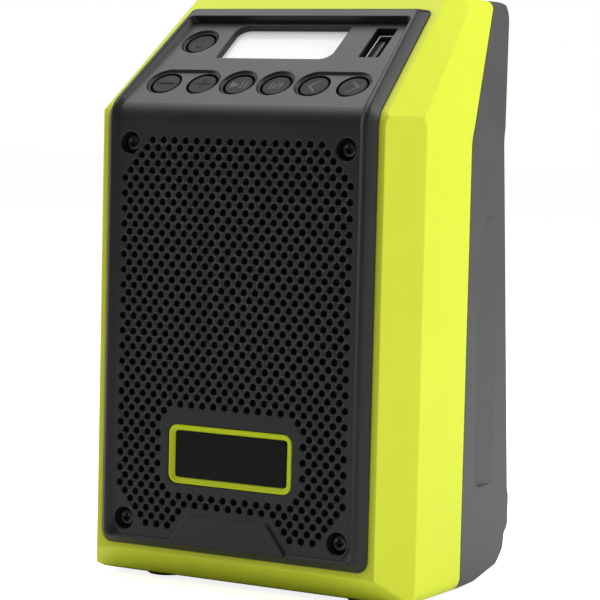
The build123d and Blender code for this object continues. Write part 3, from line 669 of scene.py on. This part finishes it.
def block_piece(name, slot, place, loop, depths, inner=None):
    """A plate or tube set into the control slope between two depths."""
    centre = (place[0], along(place[1]))
    top, bottom = depths
    sheet = Sheet(on_panel)
    edge = sheet.well(centre, loop, [(0.0, bottom), (0.0, top + 0.08), (-0.08, top)])
    face = [(centre[0] + u, centre[1] + v) for u, v in loop(-0.08)]
    if inner:
        opening = sheet.well(centre, inner, [(0.0, top), (0.0, bottom - 0.3)])
        sheet.fill(face, [opening], top)
        sheet.fill(opening, (), bottom - 0.3)
    else:
        sheet.fill(face, (), top)
    return new_piece(name, sheet.vertices, sheet.faces, slot, smooth=False)


def window_and_socket():
    """What shows through the window and the slot of the control slope."""
    behind = lambda growth: window_loop(growth + WINDOW_LAP)
    width, height = SOCKET_SIZE
    bore = oblong(width - 2 * SOCKET_WALL, height - 2 * SOCKET_WALL, 0.3)
    lens = block_piece("lens_sheet", "clear_lens", WINDOW_PLACE, behind, (LCD_DEPTH - 0.25, LCD_DEPTH - 0.05))
    lcd = block_piece("display_face", "display", WINDOW_PLACE, behind, (LCD_DEPTH, 6.9))
    shell = block_piece("usb_shell_detail", "steel", SOCKET_PLACE, oblong(width, height, 0.5),
                        (1.4, 13.2), bore)
    tongue = block_piece("usb_tongue_detail", "tongue", TONGUE_PLACE, oblong(*TONGUE_SIZE, 0.15), (2.9, 12.8))
    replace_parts(lens, "display_lens")
    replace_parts(lcd, "display_module")
    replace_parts(shell, "usb_shell")
    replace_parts(tongue, "usb_tongue")


def cloth_sheet():
    """Cloth behind the grille, right out to its corners and cut out round the screw seats."""
    sheet = Sheet(lambda u, v, depth=0.0: (u, CLOTH_FACE + depth, v))
    outline = [(u, v + CLOTH_MIDDLE) for u, v in rounded(*CLOTH_SIZE, [CLOTH_CORNER] * 4)]
    seats = [[(x + u, z + v) for u, v in circle(CLOTH_SEAT_R, 24)] for x, z in SCREWS]
    sheet.fill(outline, seats)
    sheet.rings([[(u, v, depth) for u, v in outline] for depth in (CLOTH_THICK, 0.0)])
    return new_piece("cloth_sheet", sheet.vertices, sheet.faces, "cloth", smooth=False)


def badge_frame():
    """Lime frame in its pocket: a narrow flat edge, then a fall towards the plate."""
    sheet = Sheet(lambda u, v, depth=0.0: (u, PLATE + depth, BADGE_Z + v))
    sheet.well((0, 0), oblong(*BADGE_FRAME, 3.0), BADGE_PROFILE)
    return new_piece("badge_frame", sheet.vertices, sheet.faces, "badge_lime", smooth=False)


window_and_socket()
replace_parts(badge_frame(), "badge_rim")
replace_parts(cloth_sheet(), "grille_cloth")
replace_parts(front_panel(), "front_panel")


# ---------------------------------------------------------------- bezel
CREST_TANGENT = BEND_RADIUS * tan(LEAN / 2)
CREST_ARC = CREST_BEND - CREST_TANGENT
CREST_ARC_END = CREST_ARC + BEND_RADIUS * LEAN


def on_crest(u, v, depth=0.0):
    """Where a point of the developed crest lies on the radio."""
    if v <= CREST_ARC:
        return (u, FRONT + depth, v)
    if v <= CREST_ARC_END:
        angle = (v - CREST_ARC) / BEND_RADIUS
        reach = BEND_RADIUS - depth
        return (u, FRONT + BEND_RADIUS - cos(angle) * reach, CREST_ARC + sin(angle) * reach)
    up = v - CREST_ARC_END + CREST_TANGENT
    y, z = crest_point(up, depth)
    return (u, y, z)


def crest_along(up):
    return CREST_ARC_END + up - CREST_TANGENT


def panel_sink(v):
    """Depth of the panel below the crest at a place along the crest."""
    if v <= CREST_ARC:
        return PLATE - FRONT
    if v <= CREST_ARC_END:
        share = (v - CREST_ARC) / (CREST_ARC_END - CREST_ARC)
        start = SINK_LOW + (SINK_HIGH - SINK_LOW) * CREST_TANGENT / OPENING_TOP
        return (PLATE - FRONT) * (1 - share) + start * share
    return SINK_LOW + (SINK_HIGH - SINK_LOW) * (v - CREST_ARC_END + CREST_TANGENT) / OPENING_TOP


def frame_loop(half, low, up, low_corner, up_corner, taper, pull=0.0):
    """A loop round the front, (u, v) on the developed crest, anticlockwise from the lower right.
    Up the slope it narrows by the taper, and by the pull for every mm that the panel lies deeper."""
    corner_steps, bend_steps = 8, 16
    top = crest_along(up)
    kink = (CREST_ARC + CREST_ARC_END) / 2

    def narrow(v):
        return half - max(0.0, v - kink) * taper - pull * (panel_sink(v) - (PLATE - FRONT))

    right = []
    for i in range(corner_steps + 1):
        angle = -pi / 2 + (pi / 2) * i / corner_steps
        right.append((half - low_corner * (1 - cos(angle)), low + low_corner * (1 + sin(angle))))
    right.append((half, CREST_ARC))
    for i in range(1, bend_steps + 1):
        v = CREST_ARC + (CREST_ARC_END - CREST_ARC) * i / bend_steps
        right.append((narrow(v), v))
    for i in range(corner_steps + 1):
        angle = (pi / 2) * i / corner_steps
        v = top - up_corner * (1 - sin(angle))
        right.append((narrow(v) - up_corner * (1 - cos(angle)), v))
    return right + [(-u, v) for u, v in reversed(right)]


def front_bezel():
    """Raised frame: soft outer slope, narrow crest, and an inner fall to the panel."""
    sheet = Sheet(on_crest)
    rise = BASE - FRONT
    # half width, lowest place, highest place, lower corner, upper corner, depth and taper
    outer = [
        (49.5, 13.3, 55.6, 3.6, 1.6, rise + 0.3, 0.083),
        (49.6, 13.2, 55.7, 3.6, 1.6, rise - 0.35, 0.083),
        (50.05, 12.8, 56.2, 3.8, 1.8, rise - 0.45, 0.083),
        (48.0, 14.75, 53.7, 2.4, 1.6, 0.62, 0.09),
        (47.75, 14.98, 53.3, 2.2, 1.5, 0.33, 0.09),
        (47.45, 15.2, 52.9, 2.0, 1.4, 0.12, 0.09),
        (47.1, 15.4, 52.5, 1.9, 1.3, 0.02, 0.09),
        (46.8, 15.5, 52.1, 1.8, 1.2, 0.0, 0.09),
    ]
    loops = []
    for half, low, up, low_corner, up_corner, depth, taper in outer:
        loops.append([(u, v, depth) for u, v in frame_loop(half, low, up, low_corner, up_corner, taper)])
    # the same down to the upper corner, then the share of the way down to the panel
    inner = [
        (46.5, 15.35, 49.2, 2.8, 1.6, 0.0),
        (46.2, 15.5, 49.06, 3.0, 1.5, 0.06),
        (45.8, 15.65, 49.0, 3.4, 1.4, 0.35),
        (45.45, 15.8, 49.0, 3.8, 1.3, 0.62),
        (45.1, 15.95, 49.0, 4.4, 1.2, 0.86),
        (44.9, 16.1, 49.0, 5.0, 1.1, 1.0),
        (44.6, 16.3, 48.9, 5.1, 1.1, 1.25),
    ]
    for half, low, up, low_corner, up_corner, share in inner:
        flat = frame_loop(half, low, up, low_corner, up_corner, 0.085, 0.25 * share)
        loops.append([(u, v, share * panel_sink(v)) for u, v in flat])
    loops.append([(u, v, depth + 2.0) for u, v, depth in loops[-1]])
    sheet.rings(loops)
    return new_piece("front_bezel_detail", sheet.vertices, sheet.faces, "black_plastic")


def tablet():
    """Raised bare tablet at the foot of the grille, run into the bezel."""
    sheet = Sheet(lambda u, v, depth=0.0: (u, FRONT + depth, v))

    def form(growth):
        low, high = TABLET_HEIGHTS[0] - growth * 0.2, TABLET_HEIGHTS[1] + growth
        bottom, top = (half + growth * 1.2 for half in TABLET_HALVES)
        return [(bottom, low), (top, high), (-top, high), (-bottom, low)]

    sheet.well((0, 0), form, TABLET_PROFILE)
    growth, depth = TABLET_PROFILE[-1]
    sheet.fill(form(growth), (), depth)
    new_piece("tablet", sheet.vertices, sheet.faces, "panel_plastic", smooth=False)


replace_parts(front_bezel(), "front_bezel")
tablet()


# ---------------------------------------------------------------- buttons and screws
def grown(points, growth):
    """A closed anticlockwise polygon moved outwards."""
    moved = []
    for i in range(len(points)):
        before, here, after = (Vector(points[(i + k) % len(points)]) for k in (-1, 0, 1))
        a = (here - before).normalized()
        b = (after - here).normalized()
        na, nb = Vector((a.y, -a.x)), Vector((b.y, -b.x))
        middle = (na + nb).normalized()
        moved.append(tuple(here + middle * (growth / max(0.35, middle.dot(na)))))
    return moved


def sink(sheet, polygon, growths, depths):
    """Sink a polygon into a face, between two depths. Returns its edge, which the face leaves open."""
    edge, floor = (grown(polygon, growth) for growth in growths)
    top, bottom = depths
    sheet.rings([[(u, v, top) for u, v in edge], [(u, v, bottom) for u, v in floor]])
    sheet.fill(floor, (), bottom)
    return edge


def bar(x0, y0, x1, y1, half):
    """A straight stroke as an anticlockwise polygon."""
    a, b = Vector((x0, y0)), Vector((x1, y1))
    side = (b - a).normalized()
    side = Vector((side.y, -side.x)) * half
    return [tuple(a + side), tuple(b + side), tuple(b - side), tuple(a - side)]


def chevron(way):
    """A pointing stroke; way is 1 for right and -1 for left."""
    tip, back, reach, half = 2.4 * way, -0.9 * way, 3.2, 0.4
    points = [(tip, 0.0), (back, reach), (back - way * half * 1.4, reach - half),
              (tip - way * half * 2.8, 0.0), (back - way * half * 1.4, -reach + half), (back, -reach)]
    return points if way > 0 else list(reversed(points))


def cross(reach, half):
    """A plus sign as an anticlockwise polygon."""
    return [(reach, -half), (reach, half), (half, half), (half, reach), (-half, reach), (-half, half),
            (-reach, half), (-reach, -half), (-half, -half), (-half, -reach), (half, -reach), (half, -half)]


def power_arc(radius, half):
    """An open ring as an anticlockwise polygon, open at the top."""
    angles = [pi / 2 + radians(38) + radians(284) * i / 24 for i in range(25)]
    outer = [((radius + half) * cos(a), (radius + half) * sin(a)) for a in angles]
    inner = [((radius - half) * cos(a), (radius - half) * sin(a)) for a in reversed(angles)]
    return outer + inner


SYMBOLS = {
    "power_button": [power_arc(2.5, 0.32), bar(0.0, 1.1, 0.0, 3.3, 0.32)],
    "volume_down_button": [bar(-2.9, 0.0, 2.9, 0.0, 0.4)],
    "volume_up_button": [cross(2.9, 0.4)],
    "play_pause_button": [[(-3.0, -1.6), (0.1, 0.0), (-3.0, 1.6)], bar(1.1, -1.7, 1.1, 1.7, 0.32),
                          bar(2.6, -1.7, 2.6, 1.7, 0.32)],
    "mode_button": [bar(-0.9, -0.9, 0.9, 0.9, 0.5)],
    "previous_button": [chevron(-1)],
    "next_button": [chevron(1)],
}
# painted highlight: how light the faces of each sunk sign are made, for light on the walls of its groove
SIGN_HIGHLIGHT = {"power_button": 0.25, "play_pause_button": 0.8, "mode_button": 0.9, "previous_button": 0.8,
           "next_button": 0.8}
ROW = ("volume_down_button", "volume_up_button", "play_pause_button", "mode_button", "previous_button",
       "next_button")
PLACES = {"power_button": POWER_PLACE}
for index, name in enumerate(ROW):
    PLACES[name] = ((index - (len(ROW) - 1) / 2) * BUTTON_PITCH, BUTTON_ROW)


def button(name):
    """Cap with a soft edge and its sign sunk into the face."""
    x, up = PLACES[name]
    sheet = Sheet(lambda u, v, depth=0.0: on_panel(x + u, along(up) + v, BUTTON_SINK + depth))
    sheet.well((0, 0), round_loop(BUTTON_R, CAP_STEPS), CAP_PROFILE)
    first = len(sheet.faces)
    signs = [sink(sheet, polygon, (0.06, -0.24), (0.0, SIGN_DEPTH)) for polygon in SYMBOLS[name]]
    face = circle(BUTTON_R + CAP_PROFILE[-1][0], CAP_STEPS)
    areas = [(face, signs)]
    if name == "mode_button":
        square = oblong(4.2, 4.2, 0.7, least=0.0)
        groove = ((0.0, 0.0), (-0.3, SIGN_DEPTH), (-0.4, SIGN_DEPTH), (-0.7, 0.0))
        sheet.rings([[(u, v, depth) for u, v in square(growth)] for growth, depth in groove])
        areas = [(square(groove[-1][0]), signs), (face, [square(0.0)])]
    marked = range(first, len(sheet.faces))
    for outline, holes in areas:
        sheet.fill(outline, holes)
    piece = new_piece(name + "_cap", sheet.vertices, sheet.faces, "keycap", name + "_body")
    # painted highlight: the faces of the sunk sign are marked lighter, for light on the walls of its groove
    light = SIGN_HIGHLIGHT.get(name, 0.0)
    values = [light if i in marked else 0.0 for i in range(len(piece.data.polygons))]
    piece.data.attributes.new("sign", "FLOAT", "FACE").data.foreach_set("value", values)
    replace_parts(piece, name)


def grille_screws():
    """Domed heads with a cross recess, deep in their cups."""
    vertices, faces = [], []
    growth, top = HEAD_PROFILE[-1]
    for x, z in SCREWS:
        sheet = Sheet(lambda u, v, depth=0.0: (x + u, PLATE + depth, z + v))
        sheet.well((0, 0), round_loop(HEAD_R, ROUND_STEPS), HEAD_PROFILE)
        recess = sink(sheet, cross(1.35, 0.32), (0.05, -0.12), (top, RECESS_DEPTH))
        sheet.fill(circle(HEAD_R + growth, ROUND_STEPS), [recess], top)
        shift = len(vertices)
        vertices += sheet.vertices
        faces += [[i + shift for i in face] for face in sheet.faces]
    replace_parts(new_piece("grille_screw_heads", vertices, faces, "black_screw"), "grille_screws")


for name in PLACES:
    button(name)
grille_screws()


# ---------------------------------------------------------------- camera, light and floor
LAMP_TARGET = (0.0, 0.0, 0.1)
FLOOR_HALF = 6                         # metres


def area_light(name, place, size, power):
    """A square lamp aimed at the middle of the radio; places and size in metres, power in watts."""
    lamp = bpy.data.lights.new(name, "AREA")
    lamp.shape = "SQUARE"
    lamp.size = size
    lamp.energy = power
    obj = bpy.data.objects.new(name, lamp)
    obj.location = place
    obj.rotation_euler = (Vector(LAMP_TARGET) - Vector(place)).to_track_quat("-Z", "Y").to_euler()
    bpy.context.scene.collection.objects.link(obj)


def camera():
    """The camera of the photograph."""
    yaw, pitch, roll = CAMERA_YAW, CAMERA_PITCH, CAMERA_ROLL
    forward = Vector((-sin(yaw) * cos(pitch), cos(yaw) * cos(pitch), -sin(pitch)))
    right = Vector((cos(yaw), sin(yaw), 0))
    up = right.cross(forward)
    right_rolled = cos(roll) * right + sin(roll) * up
    up_rolled = -sin(roll) * right + cos(roll) * up
    data = bpy.data.cameras.new("camera")
    data.sensor_width = 36.0
    data.lens = CAMERA_FOCAL / PHOTO_SIZE * data.sensor_width
    data.clip_start = 0.01
    obj = bpy.data.objects.new("camera", data)
    matrix = Matrix((right_rolled, up_rolled, -forward)).transposed().to_4x4()
    matrix.translation = Vector(CAMERA_AT) * MM
    obj.matrix_world = matrix
    bpy.context.scene.collection.objects.link(obj)
    bpy.context.scene.camera = obj


def floor():
    """Pale floor that keeps the radio's shadow; the camera sees it lit a little from within."""
    mesh = bpy.data.meshes.new("floor")
    corners = [(x * FLOOR_HALF, y * FLOOR_HALF, 0) for x, y in ((-1, -1), (1, -1), (1, 1), (-1, 1))]
    mesh.from_pydata(corners, [], [(0, 1, 2, 3)])
    obj = bpy.data.objects.new("floor", mesh)
    bpy.context.scene.collection.objects.link(obj)
    n = Nodes("floor")
    n.link(n.ramp(n.noise(3.0), [(0.3, (0.90, 0.90, 0.90)), (0.7, (0.93, 0.93, 0.93))]),
           n.shader.inputs["Base Color"])
    n.shader.inputs["Roughness"].default_value = 0.9
    n.shader.inputs["Specular IOR Level"].default_value = 0.0
    rays = n.add("LightPath")
    glow = n.add("Emission")
    n.link(rays.outputs["Is Camera Ray"], glow.inputs["Strength"])
    mix = n.add("AddShader")
    n.link(n.shader.outputs["BSDF"], mix.inputs[0])
    n.link(glow.outputs["Emission"], mix.inputs[1])
    glow.inputs["Color"].default_value = (0.85, 0.85, 0.85, 1)
    n.link(mix.outputs["Shader"], n.tree.nodes["Material Output"].inputs["Surface"])
    mesh.materials.append(n.material)


def world():
    """Plain studio light, with a background that the camera and clear plastic see as white."""
    data = bpy.data.worlds.new("world")
    bpy.context.scene.world = data
    data.use_nodes = True
    tree = data.node_tree
    background = tree.nodes["Background"]
    background.inputs["Color"].default_value = (1, 1, 1, 1)
    rays = tree.nodes.new("ShaderNodeLightPath")
    strength = tree.nodes.new("ShaderNodeMapRange")
    strength.inputs["To Min"].default_value = 0.14
    strength.inputs["To Max"].default_value = 1.0
    either = tree.nodes.new("ShaderNodeMath")
    either.operation = "MAXIMUM"
    tree.links.new(rays.outputs["Is Camera Ray"], either.inputs[0])
    tree.links.new(rays.outputs["Is Transmission Ray"], either.inputs[1])
    tree.links.new(either.outputs["Value"], strength.inputs["Value"])
    tree.links.new(strength.outputs["Result"], background.inputs["Strength"])


camera()
floor()
world()
area_light("key_right", (1.15, 0.30, 0.42), 0.8, 5.3)
area_light("right_high", (0.86, 0.35, 0.86), 0.6, 6.0)
area_light("top", (-0.35, 0.02, 1.15), 1.1, 11.0)
area_light("left", (-1.2, -0.1, 0.3), 0.8, 4.0)
bpy.context.scene.view_settings.view_transform = "Standard"
